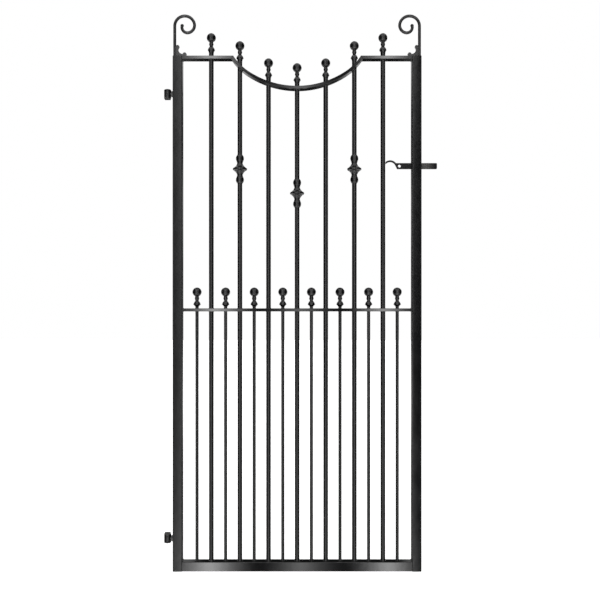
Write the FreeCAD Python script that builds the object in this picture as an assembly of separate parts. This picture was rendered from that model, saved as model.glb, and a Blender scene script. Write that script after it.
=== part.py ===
"""Tall steel side gate with a scooped top, ball finials, scrolls, eye bolt hinges and a gravity latch.

Millimetres. +X runs from the hinge side to the latch side, +Y runs from the front to the back, +Z is up.
The origin is the middle of the leaf's underside: half way between the stiles and half way through them.
"""

import FreeCAD, Part
import math
import os

# Leaf
LEAF_WIDTH = 840.0
LEAF_HEIGHT = 1740.0  # underside of the bottom rail to the top of the top rail
MID_RAIL_TOP = 887.5

# Box section of the stiles and the bottom rail
BOX = 32.0
BOX_WALL = 2.5
BOX_CORNER = 3.0
CAP_THICK = 3.0

# Flat bar of the middle and top rails, laid flat and as deep as the box section
FLAT = 10.0
FLAT_EDGE = 0.7  # small bevel along its edges
PUNCH_CLEARANCE = 0.2  # on the radius, between a bar and its punched hole

# Upright bars: every second one is long, and the ones between are the thin dog bars
BAR_SPACES = 16
LONG_BAR = 16.0
DOG_BAR = 11.0
LONG_BAR_ABOVE_RAIL = 15.0  # end of the bar above the rail that it passes through last
DOG_BAR_ABOVE_RAIL = 5.5

# Scoop of the top rail: a three-centred arc along its top edge
SCOOP_HALF_WIDTH = 215.5
SCOOP_DEPTH = 101.7
SCOOP_MIDDLE_ANGLE = 33.0  # slope where the middle arc meets an end arc
SCOOP_END_ANGLE = 57.0  # slope at the corner

# Ball finials: heights are measured up from the seat on the bar's end
BALL = 30.5
BALL_HEIGHT = 50.0  # to the ball's centre
NECK = 12.6
BEAD = 14.8
BEAD_HEIGHT = 28.2
BEAD_HALF = 4.0
WAIST = 10.4
WAIST_HEIGHT = 20.0
BELL = 24.4
BELL_HEIGHT = 8.0
BELL_SWELL = 0.7  # how far the bell's flank stands out from a straight line
BELL_LIP = 1.6
SEAT_HEIGHT = 1.0

# Knuckles: cast collars, alike above and below their middle. Each feature is (wall, distance): how thick
# the collar is there outside its bore, and how far that is from its middle.
KNUCKLE_CLEARANCE = 0.05  # on the radius, round the bar
KNUCKLE_RIM_EDGE = 16.1
KNUCKLE_RIM = (15.2, 2.9)
KNUCKLE_HOLLOW = (7.15, 8.9)
KNUCKLE_WAIST = (1.0, 20.0)
KNUCKLE_FLARE = (3.0, 27.0)
KNUCKLE_BEAD = (5.3, 37.2)
KNUCKLE_SHOULDER = (3.0, 45.0)
KNUCKLE_END = (0.8, 48.5)
OUTER_KNUCKLE_DROP = 380.3  # from the top of the leaf to the collar's middle
MIDDLE_KNUCKLE_DROP = 462.3

# Scrolls: round bar bent to three arcs, each smaller than the one before
SCROLL_BAR = 10.0
SCROLL_STEM = 105.5  # straight length above the stile
SCROLL_RADII = (33.7, 25.6, 18.8)
SCROLL_TURNS = (180.0, 15.0, -76.5, -197.0)  # where the arcs start, and where the last one ends
SCROLL_TIP = 11.5

# Cusps: small castings in the corner between scroll and rail. Each round feature is (along, up, radius),
# from where the scroll's inner side meets the top of the rail.
CUSP_THICK = 8.0
CUSP_UPPER_LOBE = (5.0, 33.9, 6.0)
CUSP_LOWER_LOBE = (28.8, 8.6, 6.4)
CUSP_HOLLOW = (22.8, 25.1, 15.5)

# Hinges
UPPER_HINGE_DROP = 126.0  # from the top of the leaf
LOWER_HINGE_HEIGHT = 108.5
HINGE_PIN = 12.0
HINGE_PIN_CLEARANCE = 0.05  # on the radius
EYE = 24.0
EYE_HEIGHT = 19.0
EYE_EDGE = 1.0
EYE_NUT_GAP = 1.0  # shank that shows between the eye and the lock nut
SHANK = 12.0
SHANK_PAST_NUT = 6.5  # inside the stile
SHANK_CLEARANCE = 0.4  # on the radius, in the stile's holes
SHANK_CHAMFER = 1.2
NUT_FLATS = 18.0
NUT_CHAMFER = 1.2
LOCK_NUT = 6.0
WELD_NUT = 10.0
EAR = 5.0
EAR_GAP = 0.3
EAR_EDGE = 1.5
BRACKET_WEB = 5.0
BRACKET_WEB_GAP = 2.0  # between the eye and the web behind it
BRACKET_INSET = 5.0  # how far the web stops short of the eye's side nearest the stile

# Latch
LATCH_DROP = 370.0  # from the top of the leaf
LATCH_DEPTH = 20.0
LATCH_THICK = 6.0
LATCH_EDGE = 0.5
LATCH_SLOT_SIDE = 1.0  # room on each side of the latch in its slots
LATCH_SLOT_PLAY = 0.4  # room above and below it
LATCH_LIFT = 12.0  # degrees
LATCH_NOSE = 54.0  # beyond the latch stile
LATCH_NOSE_CORNER = 2.0
LATCH_PIVOT = 8.0
LATCH_PIVOT_IN = 8.0  # from the stile's inner face
LATCH_PIVOT_CLEARANCE = 0.05  # on the radius
LATCH_HOLE = 10.0
LATCH_HOLE_IN = 7.5  # from the end of the latch's full depth
THUMB_THICK = 5.5
THUMB_RADIUS = 19.3  # inside the hump
THUMB_RISE = 9.5  # top of the hump above the latch's top edge
THUMB_RUN = 15.4  # from the tip to the top of the hump
THUMB_ROOT = 24.0  # from the top of the hump to the end of the latch's full depth
THUMB_ROOT_ANGLE = 30.0
THUMB_TIP_GAP = 1.0  # from the nearest long bar

OVERCUT = 1.0  # how far a cutting tool runs past the faces that it cuts
MITRE_CUT = 60.0  # reach of the tool that cuts the mitres
MITRE_TURN = 6.0  # degrees of spare bend that the mitre cuts off

V = FreeCAD.Vector
ORIGIN = V(0, 0, 0)
ACROSS = V(1, 0, 0)
BACK = V(0, 1, 0)
UP = V(0, 0, 1)

half_width = LEAF_WIDTH / 2
inner_half = half_width - BOX
pitch = 2 * inner_half / BAR_SPACES
bar_places = [-inner_half + n * pitch for n in range(1, BAR_SPACES)]
dog_places = bar_places[0::2]
long_places = bar_places[1::2]
stile_middle = half_width - BOX / 2
scroll_stem = half_width - SCROLL_BAR / 2
pin_x = -half_width - LOCK_NUT - EYE_NUT_GAP - EYE / 2
shank_end = -half_width + BOX_WALL + WELD_NUT + SHANK_PAST_NUT
hinge_heights = (LEAF_HEIGHT - UPPER_HINGE_DROP, LOWER_HINGE_HEIGHT)
bracket_back = EYE / 2 + BRACKET_WEB_GAP + BRACKET_WEB
ear_inside = EYE_HEIGHT / 2 + EAR_GAP
ear_outside = ear_inside + EAR
latch_height = LEAF_HEIGHT - LATCH_DROP
latch_pivot = V(inner_half + LATCH_PIVOT_IN, 0, latch_height)


# Helpers --------------------------------------------------------------------------------------------------


def sine(degrees):
    return math.sin(math.radians(degrees))


def cosine(degrees):
    return math.cos(math.radians(degrees))


def save(name, shape):
    shape.exportStep("parts/%s.step" % name)
    print("%-24s %d solids, valid %s" % (name, len(shape.Solids), shape.isValid()))


def arc(start, through, end):
    return Part.Arc(start, through, end).toShape()


def line(start, end):
    return Part.makeLine(start, end)


def chain(points):
    """Straight edges from each point to the next."""
    return [line(a, b) for a, b in zip(points, points[1:])]


def closed(edges):
    return Part.Wire(Part.__sortEdges__(edges))


def polygon(points):
    return Part.Wire(chain(points + points[:1]))


def plate(wire, thick):
    """A flat outline in the XZ plane, as a plate evenly in front of and behind it."""
    face = Part.Face(wire)
    face.translate(-BACK * (thick / 2))
    return face.extrude(BACK * thick)


def flat_bar(start_x, end_x, top):
    """Flat bar across the gate, with its long edges eased and its ends left square for welding."""
    bar = Part.makeBox(end_x - start_x, BOX, FLAT, V(start_x, -BOX / 2, top - FLAT))
    long_edges = [edge for edge in bar.Edges if edge.BoundBox.XLength > OVERCUT]
    return bar.makeChamfer(FLAT_EDGE, long_edges)


def rod(diameter, foot, length, direction=UP):
    return Part.makeCylinder(diameter / 2, length, foot, direction)


def chamfered_rod(diameter, foot, length, direction, chamfer):
    """A round bar with both of its ends chamfered."""
    body = rod(diameter, foot, length, direction)
    rims = [edge for edge in body.Edges if len(edge.Vertexes) == 1]
    return body.makeChamfer(chamfer, rims)


def square_bar(side, corner, centre, length):
    """A square bar with rounded long edges, standing on centre."""
    half = side / 2
    flat = half - corner
    on_arc = flat + corner * cosine(45)
    edges = []
    for turn in range(4):
        c, s = cosine(90 * turn), sine(90 * turn)
        outline = [(half, -flat), (half, flat), (on_arc, on_arc), (flat, half)]
        start, bend, middle, end = [centre + V(x * c - y * s, x * s + y * c, 0) for x, y in outline]
        edges += [line(start, bend), arc(bend, middle, end)]
    return Part.Face(Part.Wire(edges)).extrude(UP * length)


def tube_core(centre, length):
    """The hollow of the box section, which the caps fill at its ends."""
    return square_bar(BOX - 2 * BOX_WALL, BOX_CORNER - BOX_WALL, centre, length)


def box_tube(centre, length):
    return square_bar(BOX, BOX_CORNER, centre, length).cut(tube_core(centre, length))


def turned(edges, centre):
    """A body of revolution about an upright axis through centre, from its half outline."""
    face = Part.Face(closed(edges))
    face.translate(centre)
    return face.revolve(centre, UP, 360)


# Scoop geometry -------------------------------------------------------------------------------------------


def scoop_radii():
    """Radii of the middle and the end arcs that give the scoop its width and depth with these slopes."""
    middle_run, middle_rise = sine(SCOOP_MIDDLE_ANGLE), 1 - cosine(SCOOP_MIDDLE_ANGLE)
    end_run = sine(SCOOP_END_ANGLE) - sine(SCOOP_MIDDLE_ANGLE)
    end_rise = cosine(SCOOP_MIDDLE_ANGLE) - cosine(SCOOP_END_ANGLE)
    scale = middle_run * end_rise - middle_rise * end_run
    middle = (SCOOP_HALF_WIDTH * end_rise - SCOOP_DEPTH * end_run) / scale
    end = (SCOOP_DEPTH * middle_run - SCOOP_HALF_WIDTH * middle_rise) / scale
    return middle, end


middle_radius, end_radius = scoop_radii()
middle_centre = V(0, 0, LEAF_HEIGHT - SCOOP_DEPTH + middle_radius)


def below(centre, radius, side, angle):
    """The point of an arc where it slopes by angle, on the given side of the spot under its centre."""
    return centre + V(side * radius * sine(angle), 0, -radius * cosine(angle))


def end_centre(side):
    return below(middle_centre, middle_radius - end_radius, side, SCOOP_MIDDLE_ANGLE)


def mitre_foot(side):
    """Where the scoop's underside meets the underside of the straight top rail."""
    centre = end_centre(side)
    underside = LEAF_HEIGHT - FLAT
    run = math.sqrt((end_radius + FLAT) ** 2 - (centre.z - underside) ** 2)
    return V(centre.x + side * run, 0, underside)


def bent_flat(centre, radius, start_angle, end_angle):
    """Flat bar bent round a centre above it, from one slope to another, with its top edge at radius."""
    straight = flat_bar(centre.x, centre.x + FLAT, centre.z - radius)
    section = min(straight.Faces, key=lambda face: face.CenterOfMass.x).copy()
    section.rotate(centre, -BACK, start_angle)
    return section.revolve(centre, -BACK, end_angle - start_angle)


def beyond_mitre(side, outwards):
    """The space on one side of the mitre between the scoop and a straight top rail."""
    top, foot = V(side * SCOOP_HALF_WIDTH, 0, LEAF_HEIGHT), mitre_foot(side)
    overrun = (top - foot) * (MITRE_CUT / FLAT)
    shift = V(side * outwards * MITRE_CUT, 0, 0)
    high, low = top + overrun, foot - overrun
    return plate(polygon([high, low, low + shift, high + shift]), BOX + 2 * OVERCUT)


def top_rail_height(x):
    """Height of the top rail's upper edge at a place across the gate."""
    run = abs(x)
    if run >= SCOOP_HALF_WIDTH:
        return LEAF_HEIGHT
    if run <= middle_radius * sine(SCOOP_MIDDLE_ANGLE):
        return middle_centre.z - math.sqrt(middle_radius ** 2 - run ** 2)
    centre = end_centre(1)
    return centre.z - math.sqrt(end_radius ** 2 - (run - centre.x) ** 2)


# Bars and their castings ----------------------------------------------------------------------------------


def bar_top(x):
    """The upper end of the bar at a place across the gate, where its finial sits."""
    if x in long_places:
        return top_rail_height(x) + LONG_BAR_ABOVE_RAIL
    return MID_RAIL_TOP + DOG_BAR_ABOVE_RAIL


def upright(x, diameter):
    """A bar from the top of the bottom rail to the seat of its finial."""
    return rod(diameter, V(x, 0, BOX), bar_top(x) - BOX)


def punched(rail):
    """A rail with a hole for every bar that passes through it."""
    bounds = rail.BoundBox
    for places, diameter in ((long_places, LONG_BAR), (dog_places, DOG_BAR)):
        radius = diameter / 2 + PUNCH_CLEARANCE
        for x in places:
            meets = bounds.XMin - radius < x < bounds.XMax + radius
            if meets and bar_top(x) > bounds.ZMin:
                foot = V(x, 0, bounds.ZMin - OVERCUT)
                rail = rail.cut(rod(2 * radius, foot, bounds.ZLength + 2 * OVERCUT))
    return rail


def finial(seat, bar):
    """Ball, bead, waist and bell over a seat as wide as the bar below it."""
    ball, neck = BALL / 2, NECK / 2
    top = V(0, 0, BALL_HEIGHT + ball)
    ball_foot = V(neck, 0, BALL_HEIGHT - math.sqrt(ball ** 2 - neck ** 2))
    bead_top = V(neck, 0, BEAD_HEIGHT + BEAD_HALF)
    bead_foot = V(neck, 0, BEAD_HEIGHT - BEAD_HALF)
    waist = V(WAIST / 2, 0, WAIST_HEIGHT)
    bell = V(BELL / 2, 0, BELL_HEIGHT)
    lip = bell - V(BELL_LIP, 0, BELL_LIP)
    lip_middle = bell - V(BELL_LIP * (1 - cosine(45)), 0, BELL_LIP * sine(45))
    flank_middle = (bell + waist) / 2 + V(BELL_SWELL, 0, BELL_SWELL)
    edges = [
        arc(top, V(ball, 0, BALL_HEIGHT), ball_foot),
        line(ball_foot, bead_top),
        arc(bead_top, V(BEAD / 2, 0, BEAD_HEIGHT), bead_foot),
        line(bead_foot, waist),
        arc(waist, flank_middle, bell),
        arc(bell, lip_middle, lip),
    ]
    seat_edges = chain([lip, V(bar / 2, 0, SEAT_HEIGHT), V(bar / 2, 0, 0), ORIGIN, top])
    return turned(edges + seat_edges, seat)


def knuckle(centre):
    """A collar with a sharp middle rim, a waist and a bead each side of it, and thin ends."""
    bore = LONG_BAR / 2 + KNUCKLE_CLEARANCE

    def half_outline(sign):
        features = (KNUCKLE_RIM, KNUCKLE_HOLLOW, KNUCKLE_WAIST, KNUCKLE_FLARE, KNUCKLE_BEAD, KNUCKLE_SHOULDER,
                    KNUCKLE_END, (0, KNUCKLE_END[1]))
        rim, hollow, waist, flare, bead, shoulder, end, bore_end = [
            V(bore + wall, 0, sign * distance) for wall, distance in features]
        curves = [arc(rim, hollow, waist), line(waist, flare), arc(flare, bead, shoulder)]
        return rim, bore_end, curves + chain([shoulder, end, bore_end])

    upper_rim, upper_bore, upper_edges = half_outline(1)
    lower_rim, lower_bore, lower_edges = half_outline(-1)
    middle = [arc(upper_rim, V(bore + KNUCKLE_RIM_EDGE, 0, 0), lower_rim), line(upper_bore, lower_bore)]
    return turned(upper_edges + lower_edges + middle, centre)


# Frame ----------------------------------------------------------------------------------------------------


def hinge_stile():
    stile = box_tube(V(-stile_middle, 0, 0), LEAF_HEIGHT)
    for height in hinge_heights:
        start = V(-half_width - OVERCUT, 0, height)
        stile = stile.cut(rod(SHANK + 2 * SHANK_CLEARANCE, start, BOX + 2 * OVERCUT, ACROSS))
    return stile


def latch_slot(wall_start):
    """The slot in one wall of the stile, as high as the latch sweeps there from rest to fully lifted."""
    half = LATCH_DEPTH / 2
    heights = [-half, half]
    for x in (wall_start, wall_start + BOX_WALL):
        rise = (x - latch_pivot.x) * sine(LATCH_LIFT)
        heights += [(rise - half) / cosine(LATCH_LIFT), (rise + half) / cosine(LATCH_LIFT)]
    low, high = min(heights) - LATCH_SLOT_PLAY, max(heights) + LATCH_SLOT_PLAY
    width = LATCH_THICK + 2 * LATCH_SLOT_SIDE
    corner = V(wall_start - OVERCUT, -width / 2, latch_height + low)
    return Part.makeBox(BOX_WALL + 2 * OVERCUT, width, high - low, corner)


def latch_stile():
    stile = box_tube(V(stile_middle, 0, 0), LEAF_HEIGHT)
    slots = [latch_slot(start) for start in (inner_half, half_width - BOX_WALL)]
    return stile.cut(slots + [latch_pivot_pin()])


def stile_caps(foot):
    return Part.makeCompound([tube_core(V(side * stile_middle, 0, foot), CAP_THICK) for side in (-1, 1)])


def bottom_rail():
    tube = box_tube(ORIGIN, 2 * inner_half)
    tube.rotate(ORIGIN, BACK, 90)
    tube.translate(V(-inner_half, 0, BOX / 2))
    return tube


def mid_rail():
    return punched(flat_bar(-inner_half, inner_half, MID_RAIL_TOP))


def straight_top_rail(side):
    ends = (side * inner_half, side * (SCOOP_HALF_WIDTH - FLAT))
    rail = flat_bar(min(ends), max(ends), LEAF_HEIGHT)
    return punched(rail.cut(beyond_mitre(side, -1)))


def scoop():
    overrun = SCOOP_END_ANGLE + MITRE_TURN
    middle = bent_flat(middle_centre, middle_radius, -SCOOP_MIDDLE_ANGLE, SCOOP_MIDDLE_ANGLE)
    left = bent_flat(end_centre(-1), end_radius, -overrun, -SCOOP_MIDDLE_ANGLE)
    right = bent_flat(end_centre(1), end_radius, SCOOP_MIDDLE_ANGLE, overrun)
    whole = middle.fuse([left, right])
    return punched(whole.cut([beyond_mitre(-1, 1), beyond_mitre(1, 1)]))


# Scrolls --------------------------------------------------------------------------------------------------


def scroll(side):
    """Round bar that rises from the stile's outer edge and curls inwards."""
    foot = V(side * scroll_stem, 0, LEAF_HEIGHT)
    top = foot + UP * SCROLL_STEM

    def around(middle, radius, angle):
        return middle + V(-side * radius * cosine(angle), 0, radius * sine(angle))

    centre = top + V(-side * SCROLL_RADII[0], 0, 0)
    edges = [line(foot, top)]
    for number, radius in enumerate(SCROLL_RADII):
        start, end = SCROLL_TURNS[number:number + 2]
        points = [around(centre, radius, angle) for angle in (start, (start + end) / 2, end)]
        edges.append(arc(*points))
        tip = points[-1]
        if radius != SCROLL_RADII[-1]:
            centre = around(centre, radius - SCROLL_RADII[number + 1], end)
    section = Part.Wire(Part.makeCircle(SCROLL_BAR / 2, foot, UP))
    bent = Part.Wire(edges).makePipeShell([section], True, False)
    return bent.fuse(Part.makeSphere(SCROLL_TIP / 2, tip))


def cusp(side):
    """Casting with a rolled lobe at each end of a hollow edge, seated on the scroll's stem."""
    stem = V(side * scroll_stem, 0, LEAF_HEIGHT)
    corner = stem - V(side * SCROLL_BAR / 2, 0, 0)

    def drum(feature):
        along, up, radius = feature
        return rod(2 * radius, corner + V(-side * along, -CUSP_THICK / 2, up), CUSP_THICK, BACK)

    reach = corner - V(side * CUSP_LOWER_LOBE[0], 0, 0)
    rise = UP * CUSP_UPPER_LOBE[1]
    body = plate(polygon([stem, reach, reach + rise, stem + rise]), CUSP_THICK)
    body = body.cut(drum(CUSP_HOLLOW)).fuse([drum(CUSP_UPPER_LOBE), drum(CUSP_LOWER_LOBE)])
    stem_space = rod(SCROLL_BAR, stem - UP * OVERCUT, SCROLL_STEM)
    return body.cut(stem_space).removeSplitter()


# Hinges ---------------------------------------------------------------------------------------------------


def eye_bolt(height):
    eye_foot = V(pin_x, 0, height - EYE_HEIGHT / 2)
    eye = chamfered_rod(EYE, eye_foot, EYE_HEIGHT, UP, EYE_EDGE)
    shank = chamfered_rod(SHANK, V(pin_x, 0, height), shank_end - pin_x, ACROSS, SHANK_CHAMFER)
    bore = rod(HINGE_PIN + 2 * HINGE_PIN_CLEARANCE, eye_foot - UP * OVERCUT, EYE_HEIGHT + 2 * OVERCUT)
    return eye.fuse(shank).cut(bore)


def nut(start, thick):
    """A hexagon nut on an eye bolt's shank, level on two flats, with its corners chamfered."""
    corner = NUT_FLATS / 2 / cosine(30)
    points = [start + V(0, corner * cosine(60 * n), corner * sine(60 * n)) for n in range(6)]
    hexagon = Part.Face(polygon(points)).extrude(ACROSS * thick)
    blank = chamfered_rod(2 * corner, start, thick, ACROSS, NUT_CHAMFER)
    return hexagon.common(blank).cut(rod(SHANK, start, thick, ACROSS))


def nuts(start, thick):
    return Part.makeCompound([nut(V(start, 0, height), thick) for height in hinge_heights])


def hinge_bracket(height):
    """Two ears over and under the eye, joined behind it by a web whose back is welded to the post."""
    centre = V(pin_x, 0, height)
    ears = chamfered_rod(EYE, centre - UP * ear_outside, 2 * ear_outside, UP, EAR_EDGE)
    corner = centre - V(EYE / 2, 0, ear_outside)
    ears = ears.fuse(Part.makeBox(EYE - BRACKET_INSET, bracket_back, 2 * ear_outside, corner))
    gap_corner = centre - V(EYE, EYE, ear_inside)
    gap = Part.makeBox(2 * EYE, EYE + bracket_back - BRACKET_WEB, 2 * ear_inside, gap_corner)
    return ears.cut([gap, hinge_pin(height)])


def hinge_pin(height):
    return rod(HINGE_PIN, V(pin_x, 0, height - ear_outside), 2 * ear_outside)


# Latch ----------------------------------------------------------------------------------------------------


def latch_bar():
    """Flat bar with a square nose, a hole and a humped thumb tail."""
    low, high = latch_height - LATCH_DEPTH / 2, latch_height + LATCH_DEPTH / 2
    tip = long_places[-1] + LONG_BAR / 2 + THUMB_TIP_GAP
    outer_radius = THUMB_RADIUS + THUMB_THICK
    hump = V(tip + THUMB_RUN, 0, high + THUMB_RISE - outer_radius)
    root = hump.x + THUMB_ROOT
    nose = half_width + LATCH_NOSE
    corner = LATCH_NOSE_CORNER

    def on_hump(radius, run):
        return hump + V(run, 0, math.sqrt(radius ** 2 - run ** 2))

    under_end = on_hump(THUMB_RADIUS, THUMB_RADIUS * cosine(THUMB_ROOT_ANGLE))
    over_end = on_hump(outer_radius, math.sqrt(outer_radius ** 2 - (high - hump.z) ** 2))
    tip_under = on_hump(THUMB_RADIUS, -THUMB_RUN)
    tip_over = on_hump(outer_radius, -THUMB_RUN)
    edges = chain([
        under_end,
        V(root, 0, low),
        V(nose - corner, 0, low),
        V(nose, 0, low + corner),
        V(nose, 0, high - corner),
        V(nose - corner, 0, high),
        over_end,
    ])
    edges.append(arc(over_end, on_hump(outer_radius, 0), tip_over))
    edges.append(line(tip_over, tip_under))
    edges.append(arc(tip_under, on_hump(THUMB_RADIUS, 0), under_end))
    bar = plate(closed(edges), LATCH_THICK)
    rims = [edge for edge in bar.Edges if edge.BoundBox.YLength < LATCH_EDGE]
    bar = bar.makeFillet(LATCH_EDGE, rims)
    hole = V(root + LATCH_HOLE_IN, -LATCH_THICK, latch_height)
    pivot_bore = LATCH_PIVOT + 2 * LATCH_PIVOT_CLEARANCE
    return bar.cut([
        rod(LATCH_HOLE, hole, 2 * LATCH_THICK, BACK),
        rod(pivot_bore, latch_pivot - BACK * LATCH_THICK, 2 * LATCH_THICK, BACK),
    ])


def latch_pivot_pin():
    return rod(LATCH_PIVOT, latch_pivot - BACK * (BOX / 2), BOX, BACK)


# Writing the pieces ---------------------------------------------------------------------------------------


def save_frame():
    save("hinge_stile", hinge_stile())
    save("latch_stile", latch_stile())
    save("stile_top_caps", stile_caps(LEAF_HEIGHT - CAP_THICK))
    save("stile_bottom_caps", stile_caps(0))
    save("bottom_rail", bottom_rail())
    save("mid_rail", mid_rail())
    save("top_rail_hinge_side", straight_top_rail(-1))
    save("top_rail_latch_side", straight_top_rail(1))
    save("top_rail_scoop", scoop())


def save_bars():
    for kind, places, diameter in (("long_bar", long_places, LONG_BAR), ("dog_bar", dog_places, DOG_BAR)):
        for number, x in enumerate(places, 1):
            save("%s_%d" % (kind, number), upright(x, diameter))
            save("%s_finial_%d" % (kind, number), finial(V(x, 0, bar_top(x)), diameter))
    drops = {2: OUTER_KNUCKLE_DROP, 4: MIDDLE_KNUCKLE_DROP, 6: OUTER_KNUCKLE_DROP}
    for number, drop in drops.items():
        save("knuckle_bar_%d" % number, knuckle(V(long_places[number - 1], 0, LEAF_HEIGHT - drop)))


def save_scrolls():
    for side, name in ((-1, "hinge_side"), (1, "latch_side")):
        save("scroll_" + name, scroll(side))
        save("scroll_cusp_" + name, cusp(side))


def save_hinges():
    for height, name in zip(hinge_heights, ("upper", "lower")):
        save(name + "_eye_bolt", eye_bolt(height))
        save(name + "_hinge_bracket", hinge_bracket(height))
        save(name + "_hinge_pin", hinge_pin(height))
    save("eye_bolt_lock_nuts", nuts(-half_width - LOCK_NUT, LOCK_NUT))
    save("eye_bolt_weld_nuts", nuts(-half_width + BOX_WALL, WELD_NUT))


def save_latch():
    save("latch_bar", latch_bar())
    save("latch_pivot_pin", latch_pivot_pin())


os.makedirs("parts", exist_ok=True)
save_frame()
save_bars()
save_scrolls()
save_hinges()
save_latch()
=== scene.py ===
# %% [markdown]
# # A tall steel side gate
# The model of the gate is already made and packed as CAD parts that swing and lift.
# This script keeps those parts as its frame, gives each one its finish, and adds the small
# things that a workshop leaves on a real gate, such as weld beads.
# Everything is in metres. X runs from the hinges to the latch, Y from front to back, Z is up.

# %% Load the frame
import math

import bpy
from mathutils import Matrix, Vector


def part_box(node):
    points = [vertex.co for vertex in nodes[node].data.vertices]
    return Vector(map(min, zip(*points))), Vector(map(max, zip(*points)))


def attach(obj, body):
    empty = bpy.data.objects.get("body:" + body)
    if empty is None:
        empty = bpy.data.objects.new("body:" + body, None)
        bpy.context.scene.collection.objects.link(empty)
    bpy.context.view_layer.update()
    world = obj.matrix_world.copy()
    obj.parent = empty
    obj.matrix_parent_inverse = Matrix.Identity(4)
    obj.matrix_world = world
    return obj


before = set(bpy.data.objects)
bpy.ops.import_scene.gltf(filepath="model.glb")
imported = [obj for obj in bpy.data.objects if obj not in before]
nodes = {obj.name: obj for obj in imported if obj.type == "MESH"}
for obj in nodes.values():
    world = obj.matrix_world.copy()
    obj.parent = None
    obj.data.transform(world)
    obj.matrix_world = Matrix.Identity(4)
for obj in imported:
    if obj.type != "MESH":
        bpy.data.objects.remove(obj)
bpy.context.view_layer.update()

MM = 0.001

# %% [markdown]
# ## Node maths
# A finish in Blender is a small program made of nodes. Clicking the nodes together by hand
# hides the sums, so here they are written as Python expressions. `Value` wraps one socket:
# `1 - mask` or `a * b + 0.2` adds the Math nodes that work it out.

# %% Value
class Value:
    """A number that nodes work out."""

    def __init__(self, recipe, socket):
        self.recipe, self.socket = recipe, socket

    def maths(self, operation, first, second=0.0):
        made = self.recipe.make("ShaderNodeMath", {"operation": operation}, {0: first, 1: second})
        return Value(self.recipe, made.outputs[0])

    def __add__(self, other):
        return self.maths("ADD", self, other)

    def __sub__(self, other):
        return self.maths("SUBTRACT", self, other)

    def __mul__(self, other):
        return self.maths("MULTIPLY", self, other)

    def __truediv__(self, other):
        return self.maths("DIVIDE", self, other)

    def __rsub__(self, other):
        return self.maths("SUBTRACT", other, self)

    __radd__ = __add__
    __rmul__ = __mul__

    def size(self):
        return self.maths("ABSOLUTE", self)

    def sine(self):
        return self.maths("SINE", self)

    def larger(self, other):
        return self.maths("MAXIMUM", self, other)

    def power(self, other):
        return self.maths("POWER", self, other)

    def between(self, low, high):
        """0 below low, 1 above high, and a soft step from one to the other."""
        settings = {"interpolation_type": "SMOOTHSTEP"}
        made = self.recipe.make("ShaderNodeMapRange", settings,
                                {"Value": self, "From Min": low, "From Max": high})
        return Value(self.recipe, made.outputs["Result"])


# %% [markdown]
# ### Every other node
# The rest of a recipe is nodes of other kinds: noises, colour mixes, coordinates. All of
# them come from `Nodes.make`, which sets a node up first and then feeds its sockets, so a
# recipe reads from top to bottom like a list of steps.

# %% Nodes
class Nodes:
    """One node tree, and the one way that nodes are added to it."""

    def __init__(self, tree):
        self.tree = tree

    def make(self, kind, settings=(), sockets=()):
        made = self.tree.nodes.new(kind)
        for name, value in dict(settings).items():
            if name == "stops":
                self.set_stops(made.color_ramp, value)
            else:
                setattr(made, name, value)
        for name, value in dict(sockets).items():
            self.feed(made.inputs[name], value)
        return made

    def set_stops(self, ramp, stops):
        for n, (place, level) in enumerate(stops):
            stop = ramp.elements[n] if n < len(ramp.elements) else ramp.elements.new(place)
            stop.position, stop.color = place, (level, level, level, 1)

    def feed(self, socket, value):
        if isinstance(value, Value):
            value = value.socket
        if isinstance(value, bpy.types.NodeSocket):
            self.tree.links.new(value, socket)
        else:
            socket.default_value = value

    def value(self, made, output):
        return Value(self, made.outputs[output])


# %% [markdown]
# ## Camera
# A tall gate is looked at from the middle of its height, square on, so that its uprights
# stay upright. The camera stands as far back as one would to see a gate from its path.

# %% Camera
SENSOR = 36.0
VIEW_DISTANCE = 2.43  # in front of the gate's front faces
VIEW_WIDTH = 2.022  # what fits across the view at that distance
CAMERA_X = 9.8 * MM
CAMERA_HEIGHT = 0.916

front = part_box("hinge_stile")[0][1]
camera_data = bpy.data.cameras.new("camera")
camera_data.sensor_width = SENSOR
camera_data.lens = SENSOR * VIEW_DISTANCE / VIEW_WIDTH
camera = bpy.data.objects.new("camera", camera_data)
bpy.context.scene.collection.objects.link(camera)
camera.location = (CAMERA_X, front - VIEW_DISTANCE, CAMERA_HEIGHT)
camera.rotation_euler = (math.radians(90), 0, 0)
bpy.context.scene.camera = camera
print("lens %.1f mm" % camera_data.lens)

# %% [markdown]
# ## Studio
# Gloss black paint has almost no colour of its own: what one sees on it is the room.
# So the room is designed first. Lamps could be set up one by one, but then the camera would
# see them too, and a lamp's light is hard to place on a thin bar. Here the whole room is one
# dome of light, worked out from the direction that a ray leaves in: a broad soft box
# overhead, soft boxes and three upright strips in front of the gate, and behind it a dim
# banded wall with a strip and a box on each side. The camera itself sees plain white, as on
# a sheet of white paper.

# %% The lights
# A place across the room is the sine of its angle from straight ahead, -1 to 1. So is a height.
# A strip or a box is (middle across, half width, level).
FRONT_STRIPS = [(-0.117, 0.066, 9.0), (0.001, 0.062, 3.2), (0.114, 0.056, 8.0)]
STRIP_EDGE = (0.148, 0.154)  # across: where the right strip's own frame cuts it off
FRONT_BOXES = [(-0.42, 0.34, 1.9), (0.50, 0.30, 1.9)]
REAR_STRIPS = [(-0.36, 0.12, 2.6), (0.36, 0.12, 2.6)]  # for whoever looks at the gate's back
FEATHER = 2.2  # how fast a strip or a box fades towards its edge
REAR_BOXES = (0.50, 0.66, 0.78, 0.90)  # across: where a rear box starts, is full, and ends again
REAR_DROP = (-0.15, 0.40)  # how far below the horizon a rear box starts and is full
REAR_LEVEL, REAR_REST = 1.3, 0.06  # low down, and everywhere
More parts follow.
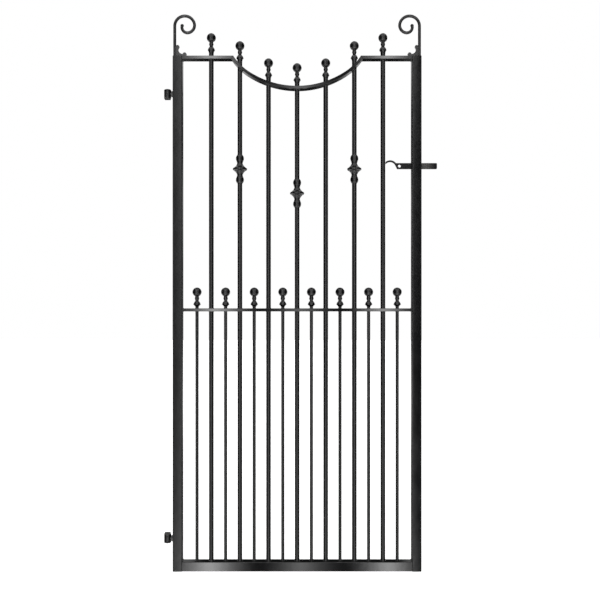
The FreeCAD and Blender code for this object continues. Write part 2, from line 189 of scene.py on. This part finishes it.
# The wall panels behind the gate are banded: (height, level), from low to high.
BACK_WALL = [(-0.45, 0.06), (-0.319, 0.13), (-0.269, 0.05), (-0.205, 0.09), (-0.139, 0.46), (-0.044, 0.09),
             (0.054, 0.05), (0.137, 0.20), (0.200, 0.0), (0.251, 0.02), (0.307, 0.46), (0.50, 0.30)]
WALL_EDGES = (0.125, 0.145, 0.19, 0.24)  # across: where a wall panel starts, is full, and ends again
BACK_GLOOM = 0.02
OVERHEAD, OVERHEAD_EDGE = 1.4, (0.55, 0.95)  # level, and the heights where it starts and is full
OVERHEAD_SHADE = 0.8  # how much of it is missing behind the gate
FLOOR_GLOW, FLOOR_EDGE = 0.35, (0.36, 0.60)  # level, and how far down it starts and is full
CORNER = (-0.15, 0.15)  # where the front of the room turns into its back
print("front strips:", len(FRONT_STRIPS), "rear strips:", len(REAR_STRIPS))

# %% [markdown]
# ### Where a ray goes
# A lamp can only be drawn on the dome once a ray's direction is split into how far it goes
# across, back and up. From those three, a soft box is a bump in the light that fades to
# nothing at its rim, as a real one does through its cloth. A band is the same on both sides.

# %% Across, back and up
world = bpy.data.worlds.new("studio")
bpy.context.scene.world = world
world.use_nodes = True
world.node_tree.nodes.clear()
dome = Nodes(world.node_tree)
direction = dome.make("ShaderNodeTexCoord").outputs["Generated"]
parts = dome.make("ShaderNodeSeparateXYZ", {}, {0: direction})
across, back, up = (dome.value(parts, axis) for axis in "XYZ")
outwards, down = across.size(), 0 - up
behind = back.between(*CORNER)
print("dome nodes so far:", len(world.node_tree.nodes))


def soft_box(middle, half_width, level):
    """Brightest in its middle and feathered to nothing at half_width."""
    inside = (1 - (across - middle).size() * (1 / half_width)).larger(0)
    return inside.power(FEATHER) * level


def band(start, full, still_full, end):
    """1 between full and still_full, on both sides of the room, and 0 outside start and end."""
    return outwards.between(start, full) * (1 - outwards.between(still_full, end))


# %% [markdown]
# ### Front and back of the room
# Three upright strips in front show as soft bright bands along the rails, and as bright
# lines on the round bars and the balls. The right one ends sharply, as if at the edge of its
# frame, so that the latch stile's front stays dark. Behind the gate it is nearly dark, with
# banded panels that only the stiles' inner faces see. The strips and boxes there are for
# whoever looks at the gate's back, and from the front they hardly show.

# %% Front and back of the room
right_strip = soft_box(*FRONT_STRIPS[-1]) * (1 - across.between(*STRIP_EDGE))
front_light = sum((soft_box(*box) for box in FRONT_STRIPS[:-1] + FRONT_BOXES), right_strip)
wall_stops = [((height + 1) / 2, level) for height, level in BACK_WALL]
wall = dome.make("ShaderNodeValToRGB", {"stops": wall_stops}, {"Fac": up * 0.5 + 0.5})
rear_boxes = band(*REAR_BOXES) * (down.between(*REAR_DROP) * REAR_LEVEL + REAR_REST)
rear_strips = soft_box(*REAR_STRIPS[0]) + soft_box(*REAR_STRIPS[1])
back_light = dome.value(wall, "Color") * band(*WALL_EDGES) + rear_boxes + rear_strips + BACK_GLOOM
print("lights in front:", len(FRONT_STRIPS + FRONT_BOXES))

# %% [markdown]
# ### The whole dome
# The two halves are blended at the corners of the room. The overhead box is mostly over the
# front half, and a little light comes up from below as it would off paving. The light path
# tells the camera's own rays from the others, so the camera sees white and everything else
# sees the room.

# %% The dome
overhead = up.between(*OVERHEAD_EDGE) * (1 - behind * OVERHEAD_SHADE)
below = down.between(*FLOOR_EDGE)
sides = front_light * (1 - behind) + back_light * behind
room_light = sides * (1 - overhead) + overhead * OVERHEAD + below * FLOOR_GLOW
seen = dome.make("ShaderNodeLightPath").outputs["Is Camera Ray"]
white = dome.make("ShaderNodeBackground", {}, {"Strength": 1.0})
room = dome.make("ShaderNodeBackground", {}, {"Strength": room_light})
white.inputs["Color"].default_value = room.inputs["Color"].default_value = (1, 1, 1, 1)
both = dome.make("ShaderNodeMixShader", {}, {0: seen, 1: room.outputs[0], 2: white.outputs[0]})
dome.make("ShaderNodeOutputWorld", {}, {"Surface": both.outputs[0]})
bpy.context.scene.view_settings.view_transform = "Standard"
print("dome nodes:", len(world.node_tree.nodes))

# %% [markdown]
# ## Floor
# The gate hangs 50 mm clear of a pale floor, as it would over a path. A plane is enough for
# it. It is left out of the reflections, because a real one would lie in the gate's shade.

# %% Floor
FLOOR_SIZE = 30.0
FLOOR_DROP = 0.05
FLOOR_WHITE = (0.92, 0.92, 0.92, 1)
FLOOR_FILL = 0.8  # light of its own, so that it stays pale under a dim overhead box
SCUFF_SCALE = 3.0


def mesh_object(name, vertices, edges=(), faces=()):
    mesh = bpy.data.meshes.new(name)
    mesh.from_pydata(vertices, edges, faces)
    made = bpy.data.objects.new(name, mesh)
    bpy.context.scene.collection.objects.link(made)
    return made


reach = FLOOR_SIZE / 2
corners = [(-reach, -reach), (reach, -reach), (reach, reach), (-reach, reach)]
floor = mesh_object("floor", [(x, y, -FLOOR_DROP) for x, y in corners], faces=[(0, 1, 2, 3)])
floor_paint = bpy.data.materials.new("floor_paint")
floor_paint.use_nodes = True
paint = Nodes(floor_paint.node_tree)
floor_shader = floor_paint.node_tree.nodes["Principled BSDF"]
scuffs = paint.make("ShaderNodeTexNoise", {}, {"Scale": SCUFF_SCALE, "Detail": 3.0,
                    "Vector": paint.make("ShaderNodeTexCoord").outputs["Object"]})
floor_shader.inputs["Base Color"].default_value = FLOOR_WHITE
paint.feed(floor_shader.inputs["Roughness"], paint.value(scuffs, "Fac") * 0.1 + 0.85)
floor_shader.inputs["Specular IOR Level"].default_value = 0.1
floor_shader.inputs["Emission Color"].default_value = (1, 1, 1, 1)
floor_shader.inputs["Emission Strength"].default_value = FLOOR_FILL
floor.data.materials.append(floor_paint)
floor.visible_glossy = False
print("floor %.0f mm below the gate" % (FLOOR_DROP / MM))

# %% [markdown]
# ## Tools for the finishes
# Every finish needs the same few things: a noise, a blend of two colours, a mask of the
# edges and a bump. The edges are found from the surface's own direction: on square stock
# only an eased corner faces two ways at once. So nothing has to be unwrapped or painted.

# %% Noise, blend, edges and bump
EASED = (0.80, 0.995)  # how squarely a surface faces one way: a corner below, a flat above


def noise(recipe, place, scale, detail=1.0, roughness=0.5):
    made = recipe.make("ShaderNodeTexNoise", {}, {"Scale": scale, "Detail": detail,
                       "Roughness": roughness, "Vector": place})
    return recipe.value(made, "Fac")


def mix(recipe, factor, first, second):
    made = recipe.make("ShaderNodeMix", {"data_type": "RGBA"}, {"Factor": factor, 6: first, 7: second})
    return made.outputs[2]


def corner_mask(recipe, coordinates):
    """1 on eased corners, 0 on flat faces."""
    facing = recipe.make("ShaderNodeSeparateXYZ", {}, {0: coordinates.outputs["Normal"]})
    x, y, z = (recipe.value(facing, axis).size() for axis in "XYZ")
    return 1 - x.larger(y).larger(z).between(*EASED)


def emboss(recipe, shader, relief, depth):
    """Bump, with its depth in millimetres."""
    bump = recipe.make("ShaderNodeBump", {}, {"Strength": 1.0, "Distance": depth * MM, "Height": relief})
    recipe.feed(shader.inputs["Normal"], bump.outputs["Normal"])


def new_material(name):
    material = bpy.data.materials.new(name)
    material.use_nodes = True
    return material, Nodes(material.node_tree), material.node_tree.nodes["Principled BSDF"]


# %% [markdown]
# ## Powder coat
# The whole gate is blasted, zinc primed and powder coated satin-gloss black. Powder melts
# on the warm steel and sets like glass that was never rolled flat: it keeps a fine orange
# peel, pulls thin over sharp edges, and its gloss drifts a little from place to place.
# A flat black would miss all of this, so the coat has four layers: the colour, the slow
# drift of gloss, the peel as bump, and the thin edges. The thin edges are painted lighter,
# partly for the thinner coat and partly as a painted highlight along the eased corners.

# %% The coat
BLACK = (0.0030, 0.0031, 0.0034, 1)
GREYED = (0.0060, 0.0060, 0.0064, 1)
# The colour of a thin edge: the thinner coat, and a painted highlight on eased corners.
THIN_EDGE_AND_HIGHLIGHT = (0.030, 0.029, 0.028, 1)
DRIFT_SCALE, WAVE_SCALE, PEEL_SCALE, PATCH_SCALE = 7.0, 45.0, 420.0, 60.0
SPREAD = (0.35, 0.70)  # a noise below the first counts as none, and above the second as full
WAVE_SHARE = 8.0  # slow waves in the steel, against the fine peel
GLOSS_DRIFT = 0.03  # how much the roughness wanders
THIN_ROUGHNESS = 0.15  # what a thin edge adds to it


def powder_coat(name, gloss, peel, edge_wear_and_highlight):
    """gloss is a roughness, peel a depth in millimetres, and the last, 0 to 1, says how far eased corners
    are thinned and painted lighter, partly as a painted highlight.
    """
    material, recipe, shader = new_material(name)
    coordinates = recipe.make("ShaderNodeTexCoord")
    place = coordinates.outputs["Object"]
    drift = noise(recipe, place, DRIFT_SCALE, detail=3.0)
    waves = noise(recipe, place, WAVE_SCALE)
    fine = noise(recipe, place, PEEL_SCALE)
    patches = noise(recipe, place, PATCH_SCALE, detail=4.0, roughness=0.6)
    # Lighter eased corners: partly a thin coat, partly a painted highlight.
    thin_edge_and_highlight = corner_mask(recipe, coordinates) * patches.between(*SPREAD) * edge_wear_and_highlight
    colour = mix(recipe, drift.between(*SPREAD), BLACK, GREYED)
    recipe.feed(shader.inputs["Base Color"], mix(recipe, thin_edge_and_highlight, colour, THIN_EDGE_AND_HIGHLIGHT))
    rough = drift * GLOSS_DRIFT + patches * GLOSS_DRIFT + thin_edge_and_highlight * THIN_ROUGHNESS + (gloss - GLOSS_DRIFT)
    recipe.feed(shader.inputs["Roughness"], rough)
    emboss(recipe, shader, fine + waves * WAVE_SHARE, peel)
    return material


# %% [markdown]
# ### Four coats
# Box section, drawn bar, cast iron and hinge parts all take the same powder. What is under
# it differs: rolled box is the smoothest and glossiest, and a casting has the deepest peel.
# Hinge parts are rubbed most, so they are the dullest. Round bars and castings have no sharp
# edges, so nothing is worn thin there, and their edges get no painted highlight.

# %% Four coats
finishes = {
    "frame_coat": powder_coat("frame_coat", 0.055, 0.0030, 0.6),
    "bar_coat": powder_coat("bar_coat", 0.09, 0.0020, 0.0),
    "casting_coat": powder_coat("casting_coat", 0.13, 0.0050, 0.0),
    "hardware_coat": powder_coat("hardware_coat", 0.16, 0.0040, 0.8),
}
print("coats:", sorted(finishes))

# %% [markdown]
# ## The latch bar
# The latch bar wears more than anything else on a gate. Its nose rubs in the keep each time
# the gate shuts, and its sides rub in the stile's slots, so there the coat is burnished to
# a dull grey. That grey is also a painted reflection: it is strongest just outside the stile
# and fades out towards the tip of the nose. The wear could be painted on, but then it would
# need an image. Here it is a mask along the bar, broken up by a fine noise that is stretched
# along the rub.

# %% Latch
# The grey and the mask along the nose are wear and also a painted reflection: grey just outside the stile,
# fading out towards the tip.
BURNISHED_AND_REFLECTION = (0.075, 0.074, 0.072, 1)
NOSE_WEAR_AND_REFLECTION = (0.418, 0.424, 0.432, 0.470)  # in X: where the rubbing starts, is full, and fades out
RUB_STRETCH, SCRATCH_SCALE = 0.12, 900.0  # scratches are drawn out along the bar
SCRATCH_DEPTH = 0.6  # against the peel
CORNER_WEAR = 0.5  # against the nose
WORN_LEAST, WORN_BROKEN = 0.6, 0.5  # how solid the wear is, and how much the scratches break it
LATCH_DRIFT_SCALE = 30.0
LATCH_GLOSS, LATCH_PEEL = 0.14, 0.004
LATCH_ROUGHNESS = (0.06, 0.12, 0.05)  # added by drift, wear and scratches
LATCH_SHINE = 0.12


def latch_coat():
    material, recipe, shader = new_material("latch_coat")
    coordinates = recipe.make("ShaderNodeTexCoord")
    place = coordinates.outputs["Object"]
    stretched = recipe.make("ShaderNodeMapping", {}, {"Vector": place, "Scale": (RUB_STRETCH, 1.0, 1.0)})
    scratches = noise(recipe, stretched.outputs["Vector"], SCRATCH_SCALE, detail=3.0, roughness=0.7)
    drift = noise(recipe, place, LATCH_DRIFT_SCALE, detail=3.0)
    fine = noise(recipe, place, PEEL_SCALE)
    along = recipe.value(recipe.make("ShaderNodeSeparateXYZ", {}, {0: place}), "X")
    # Rubbing, and a painted reflection that fades from the stile to the tip.
    rubbed_and_reflection = along.between(*NOSE_WEAR_AND_REFLECTION[:2]) * (1 - along.between(*NOSE_WEAR_AND_REFLECTION[2:]))
    worn_and_reflection = rubbed_and_reflection + corner_mask(recipe, coordinates) * CORNER_WEAR
    worn_and_reflection = worn_and_reflection * (scratches * WORN_BROKEN + WORN_LEAST)
    colour = mix(recipe, drift.between(*SPREAD), BLACK, GREYED)
    recipe.feed(shader.inputs["Base Color"], mix(recipe, worn_and_reflection, colour, BURNISHED_AND_REFLECTION))
    by_drift, by_wear, by_scratches = LATCH_ROUGHNESS
    rough = drift * by_drift + worn_and_reflection * by_wear + scratches * by_scratches + LATCH_GLOSS
    recipe.feed(shader.inputs["Roughness"], rough)
    shader.inputs["Specular IOR Level"].default_value = LATCH_SHINE
    emboss(recipe, shader, fine + scratches * rubbed_and_reflection * SCRATCH_DEPTH, LATCH_PEEL)
    return material


finishes["latch_coat"] = latch_coat()
print("latch worn from %.0f to %.0f mm" % (NOSE_WEAR_AND_REFLECTION[0] / MM, NOSE_WEAR_AND_REFLECTION[-1] / MM))

# %% [markdown]
# ## The hinge pins
# The pins aren't coated, because a coat would be gone after a day of swinging. They are
# turned steel, dark with grease, with faint rings left by the lathe. The rings could be cut
# as real grooves, but they are a few thousandths of a millimetre deep, so a wave texture up
# the pin gives them as bump.

# %% Pins
STEEL, GREASY = (0.24, 0.235, 0.23, 1), (0.018, 0.015, 0.012, 1)
GREASE_SCALE, GREASE_EDGE = 160.0, (0.38, 0.62)
GREASE_COVER = 0.7  # how far the grease hides the metal
LATHE_SCALE, LATHE_DEPTH = 700.0, 0.006
PIN_ROUGHNESS = (0.10, 0.15, 0.22)  # added by the rings and by grease, and the steel's own


def pin_steel():
    material, recipe, shader = new_material("pin_steel")
    place = recipe.make("ShaderNodeTexCoord").outputs["Object"]
    grease = noise(recipe, place, GREASE_SCALE, detail=4.0, roughness=0.6).between(*GREASE_EDGE)
    rings = recipe.make("ShaderNodeTexWave", {"bands_direction": "Z"}, {
        "Vector": place, "Scale": LATHE_SCALE, "Distortion": 1.5, "Detail": 2.0})
    turned = recipe.value(rings, "Fac")
    recipe.feed(shader.inputs["Base Color"], mix(recipe, grease, STEEL, GREASY))
    recipe.feed(shader.inputs["Metallic"], 1 - grease * GREASE_COVER)
    by_rings, by_grease, bare = PIN_ROUGHNESS
    recipe.feed(shader.inputs["Roughness"], turned * by_rings + grease * by_grease + bare)
    emboss(recipe, shader, turned, LATHE_DEPTH)
    return material


finishes["pin_steel"] = pin_steel()
print("finishes:", len(finishes))

# %% [markdown]
# ## Dressing the CAD parts
# Each CAD part came in with a plain material named after its slot in the record. The part
# itself stays as it is, and only the material in its slot is exchanged for the real finish.

# %% Dress the CAD parts
COATED_PIN = "latch_pivot_pin"  # welded into the stile, so it is coated with the leaf
for name, node in nodes.items():
    for held in node.material_slots:
        slot = next(known for known in finishes if held.material.name.startswith(known))
        held.material = finishes["frame_coat" if name == COATED_PIN else slot]
print("dressed:", len(nodes))

# %% [markdown]
# ## Weld beads
# A gate like this is held together by welds: a small ring round each bar where it meets a
# rail, and short runs in the corners of the frame. Under the powder they show as soft
# ripples, one for each pulse of the torch. They could be modelled one by one, but they are
# all the same thing, a rippled rod laid along a path, so Geometry Nodes make them. The
# paths are plain edges with a bead size stored on each point. The tree turns them into
# curves, ripples their thickness with a sine of the distance along them, adds a welder's
# unevenness with a fixed seed, and sweeps a small circle along them.

# %% A tree for beads along paths
def new_tree(name, inputs):
    tree = bpy.data.node_groups.new(name, "GeometryNodeTree")
    for label, kind in [("Geometry", "Geometry")] + inputs:
        tree.interface.new_socket(label, in_out="INPUT", socket_type="NodeSocket" + kind)
    tree.interface.new_socket("Geometry", in_out="OUTPUT", socket_type="NodeSocketGeometry")
    return Nodes(tree)


BEAD_SIDES = 8
UNEVEN_SCALE = 90.0


def bead_tree():
    recipe = new_tree("beads_along_paths", [
        ("Step", "Float"), ("Ripple Pitch", "Float"), ("Ripple Depth", "Float"),
        ("Unevenness", "Float"), ("Seed", "Float"), ("Finish", "Material")])
    given = recipe.make("NodeGroupInput")
    curves = recipe.make("GeometryNodeMeshToCurve", {}, {"Mesh": given.outputs["Geometry"]})
    spaced = recipe.make("GeometryNodeResampleCurve", {"mode": "LENGTH"},
                         {"Curve": curves.outputs["Curve"], "Length": given.outputs["Step"]})
    stored = recipe.make("GeometryNodeInputNamedAttribute", {}, {"Name": "bead_size"})
    along = recipe.value(recipe.make("GeometryNodeSplineParameter"), "Length")
    turns = along * math.tau / recipe.value(given, "Ripple Pitch")
    ripple = turns.sine() * recipe.value(given, "Ripple Depth")
    place = recipe.make("GeometryNodeInputPosition").outputs["Position"]
    drift = recipe.make("ShaderNodeTexNoise", {"noise_dimensions": "4D"}, {
        "Scale": UNEVEN_SCALE, "Detail": 1.0, "W": given.outputs["Seed"], "Vector": place})
    uneven = (recipe.value(drift, "Fac") - 0.5) * recipe.value(given, "Unevenness")
    section = recipe.make("GeometryNodeCurvePrimitiveCircle", {}, {"Resolution": BEAD_SIDES, "Radius": 1.0})
    swept = recipe.make("GeometryNodeCurveToMesh", {}, {
        "Curve": spaced.outputs["Curve"], "Profile Curve": section.outputs["Curve"],
        "Scale": recipe.value(stored, "Attribute") * (ripple + uneven + 1), "Fill Caps": True})
    smooth = recipe.make("GeometryNodeSetShadeSmooth", {}, {"Geometry": swept.outputs["Mesh"]})
    real = recipe.make("GeometryNodeRealizeInstances", {}, {"Geometry": smooth.outputs["Geometry"]})
    coated = recipe.make("GeometryNodeSetMaterial", {}, {
        "Geometry": real.outputs["Geometry"], "Material": given.outputs["Finish"]})
    recipe.make("NodeGroupOutput", {}, {"Geometry": coated.outputs["Geometry"]})
    return recipe.tree


beads = bead_tree()
print("bead tree nodes:", len(beads.nodes))


# %% [markdown]
# ### Running the tree
# A modifier works its tree out anew each time that the file is opened. A bead is laid once
# and stays as it is, so the mesh that comes out is kept, and the modifier is taken off.
# The tree's inputs are set by their sockets' identifiers.

# %% Run a tree
def run_tree(source, tree, inputs):
    """The plain mesh that a tree makes from an object, which is then thrown away."""
    modifier = source.modifiers.new(tree.name, "NODES")
    modifier.node_group = tree
    for item in tree.interface.items_tree:
        if item.in_out == "INPUT" and item.name in inputs:
            modifier[item.identifier] = inputs[item.name]
    graph = bpy.context.evaluated_depsgraph_get()
    mesh = bpy.data.meshes.new_from_object(source.evaluated_get(graph))
    source.modifiers.remove(modifier)
    bpy.data.objects.remove(source)
    return mesh


# %% [markdown]
# ### Where the beads go
# Each ring follows the rail that its bar stands on or passes through. The scoop slopes, so
# the ring's height is found by dropping a ray on the rail at each point of the ring, just
# outside the hole. Where a ray misses, the ring stays open, as on the rim of a stile.

# %% A ring on a rail
OUTSIDE_HOLE = 0.35 * MM
RING_POINTS = 36
paths = []  # (points, closed, bead size)


def middle_and_radius(name):
    low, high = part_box(name)
    return (low[0] + high[0]) / 2, (high[0] - low[0]) / 2


def around(x, radius, n, height):
    """The nth point of a circle round an upright at x."""
    angle = math.tau * n / RING_POINTS
    return Vector((x + radius * math.cos(angle), radius * math.sin(angle), height))


def ring_on(rail, x, radius, above, bead):
    """Lays a ring round an upright at x, on the top or the underside of a rail."""
    low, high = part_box(rail)
    start, towards = (high[2] + radius, -1) if above else (low[2] - radius, 1)
    points = []
    for n in range(RING_POINTS):
        spot = around(x, radius + OUTSIDE_HOLE, n + 0.5, start)
        hit, where, _, _ = nodes[rail].ray_cast(spot, Vector((0, 0, towards)))
        if hit:
            points.append(around(x, radius, n + 0.5, where.z))
    paths.append((points, len(points) == RING_POINTS, bead))


print("points on a ring:", RING_POINTS)

# %% [markdown]
# ### Rings round the bars
# Every bar is welded to the bottom rail that it stands on, and above and below the middle
# rail that it passes through. A long bar is welded to its top rail in the same way. A very
# thin ring hides the seat of the casting on top of each bar.

# %% Rings round the bars
LONG_BEAD, DOG_BEAD, SEAT_BEAD = 1.4 * MM, 1.2 * MM, 0.8 * MM
top_rails = ["top_rail_hinge_side", "top_rail_scoop", "top_rail_latch_side"]
uprights = [n for n in sorted(nodes) if n.startswith(("long_bar", "dog_bar")) and "finial" not in n]
for name in uprights:
    x, radius = middle_and_radius(name)
    is_long = name.startswith("long")
    bead = LONG_BEAD if is_long else DOG_BEAD
    ring_on("bottom_rail", x, radius, True, bead)
    ring_on("mid_rail", x, radius, True, bead)
    ring_on("mid_rail", x, radius, False, bead)
    if is_long:
        rail = next(r for r in top_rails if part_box(r)[0][0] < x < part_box(r)[1][0])
        ring_on(rail, x, radius, True, bead)
        ring_on(rail, x, radius, False, bead)
    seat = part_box(name)[1][2]
    paths.append(([around(x, radius, n, seat) for n in range(RING_POINTS)], True, SEAT_BEAD))
print("rings:", len(paths), "open:", sum(not closed for _, closed, _ in paths))

# %% [markdown]
# ### Short runs in the corners
# The flat stock meets the stiles in plain corners, so a straight run from front to back is
# all that shows there. A mitre is ground nearly flush and keeps only a thin line all the way
# round, and so does a cap let into the end of a stile. The scrolls stand in a small ring,
# and each cusp is tacked along both sides of its foot. Both sides of the gate are alike, so
# one loop lays them, with side as the sign of X.

# %% Runs in the corners of the frame
CORNER_BEAD, FLUSH_BEAD, CUSP_BEAD = 1.8 * MM, 0.5 * MM, 0.9 * MM
RUN_END = 2.5 * MM  # how far a run stops short of the faces
CUSP_RUN_END = 7.5 * MM  # and short of the ends of a cusp, whose lobe overhangs its foot
TUBE_WALL = 2.5 * MM
SCROLL_RADIUS = 5 * MM
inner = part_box("bottom_rail")[1][0]
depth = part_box("bottom_rail")[1][1]
leaf_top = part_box("hinge_stile")[1][2]
scoop_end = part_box("top_rail_scoop")[1][0]


def run(start, end, bead):
    paths.append(([Vector(start), Vector(end)], False, bead))


def loop(corners, bead):
    paths.append(([Vector(corner) for corner in corners], True, bead))


def frame_corners(side, top_rail):
    reach = depth - RUN_END
    for rail, level in (("bottom_rail", 1), ("mid_rail", 1), ("mid_rail", 0), (top_rail, 0)):
        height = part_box(rail)[level][2]
        run((side * inner, -reach, height), (side * inner, reach, height), CORNER_BEAD)
    upper = side * min(abs(corner[0]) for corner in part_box(top_rail))
    lower, below = side * scoop_end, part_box(top_rail)[0][2]
    loop([(upper, -depth, leaf_top), (lower, -depth, below),
          (lower, depth, below), (upper, depth, leaf_top)], FLUSH_BEAD)


def stile_top(side, stile, scroll, cusp):
    middle, half = middle_and_radius(stile)
    inset = half - TUBE_WALL
    square = [(-inset, -inset), (inset, -inset), (inset, inset), (-inset, inset)]
    loop([(middle + x, y, leaf_top) for x, y in square], FLUSH_BEAD)
    outermost = max(abs(corner[0]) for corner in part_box(scroll))
    ring_on(stile, side * (outermost - SCROLL_RADIUS), SCROLL_RADIUS, True, CUSP_BEAD)
    low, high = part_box(cusp)
    for y in (low[1], high[1]):
        run((low[0] + CUSP_RUN_END, y, low[2]), (high[0] - CUSP_RUN_END, y, low[2]), CUSP_BEAD)


for side, word in ((-1, "hinge"), (1, "latch")):
    frame_corners(side, "top_rail_%s_side" % word)
    stile_top(side, word + "_stile", "scroll_%s_side" % word, "scroll_cusp_%s_side" % word)
print("paths:", len(paths))

# %% [markdown]
# ### Laying the beads
# All the paths go into one mesh of edges, with each point's bead size in an attribute, so
# one run of the tree lays every bead. The welder's ripples are 2.4 mm apart, which is a
# steady hand on thin stock, and a tenth of the bead's size deep.

# %% Lay the beads
def path_mesh(name, laid):
    vertices, edges, sizes = [], [], []
    for points, closed, bead in laid:
        first, count = len(vertices), len(points)
        vertices += [tuple(point) for point in points]
        sizes += [bead] * count
        edges += [(first + n, first + (n + 1) % count) for n in range(count if closed else count - 1)]
    made = mesh_object(name, vertices, edges)
    made.data.attributes.new("bead_size", "FLOAT", "POINT").data.foreach_set("value", sizes)
    return made


def lay_beads(name, laid, finish, **inputs):
    source = path_mesh(name + "_paths", laid)
    mesh = run_tree(source, beads, {"Finish": finishes[finish], **inputs})
    mesh.name = name
    made = bpy.data.objects.new(name, mesh)
    bpy.context.scene.collection.objects.link(made)
    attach(made, "leaf")
    print(name, len(mesh.polygons), "faces")


lay_beads("weld_beads", paths, "frame_coat", **{
    "Step": 0.65 * MM, "Ripple Pitch": 2.4 * MM, "Ripple Depth": 0.10, "Unevenness": 0.5, "Seed": 4.0})

# %% [markdown]
# ## Casting seams
# The finials and the collars are cast iron. A casting is poured between two halves of a
# mould, and a hair of metal creeps between them. The fettler grinds it down, but a faint
# line stays from the foot of the casting over its top. It lies across the gate, so it shows
# most from the side. The same tree lays it: a thin bead with no ripple, along a path found
# by sending rays at the casting from both sides.

# %% A seam up one side
SEAM = 0.22 * MM
SEAM_STEP = 0.8 * MM


def seam_points(casting, side):
    low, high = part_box(casting)
    x = (low[0] + high[0]) / 2
    count = int((high[2] - low[2]) / SEAM_STEP)
    points = []
    for n in range(1, count):
        height = low[2] + (high[2] - low[2]) * n / count
        start = Vector((x + side * (high[0] - low[0]), 0, height))
        hit, where, _, _ = nodes[casting].ray_cast(start, Vector((-side, 0, 0)))
        if hit:
            points.append(where)
    return points


castings = [name for name in sorted(nodes) if "finial" in name or name.startswith("knuckle")]
print("castings:", len(castings))

# %% [markdown]
# ### Over the top or past the bar
# A ball is closed, so its seam runs up one side, over the crown and down the other. A collar
# is threaded on its bar and open at both ends, so it has a seam on each side.

# %% Casting seams
seams = []
for casting in castings:
    right, left = seam_points(casting, 1), seam_points(casting, -1)
    if "finial" in casting:
        low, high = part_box(casting)
        crown = Vector(((low[0] + high[0]) / 2, 0, high[2]))
        seams.append((right + [crown] + left[::-1], False, SEAM))
    else:
        seams += [(right, False, SEAM), (left, False, SEAM)]
lay_beads("casting_seams", seams, "casting_coat", **{
    "Step": 1.2 * MM, "Ripple Pitch": 5 * MM, "Ripple Depth": 0.0, "Unevenness": 1.2, "Seed": 9.0})
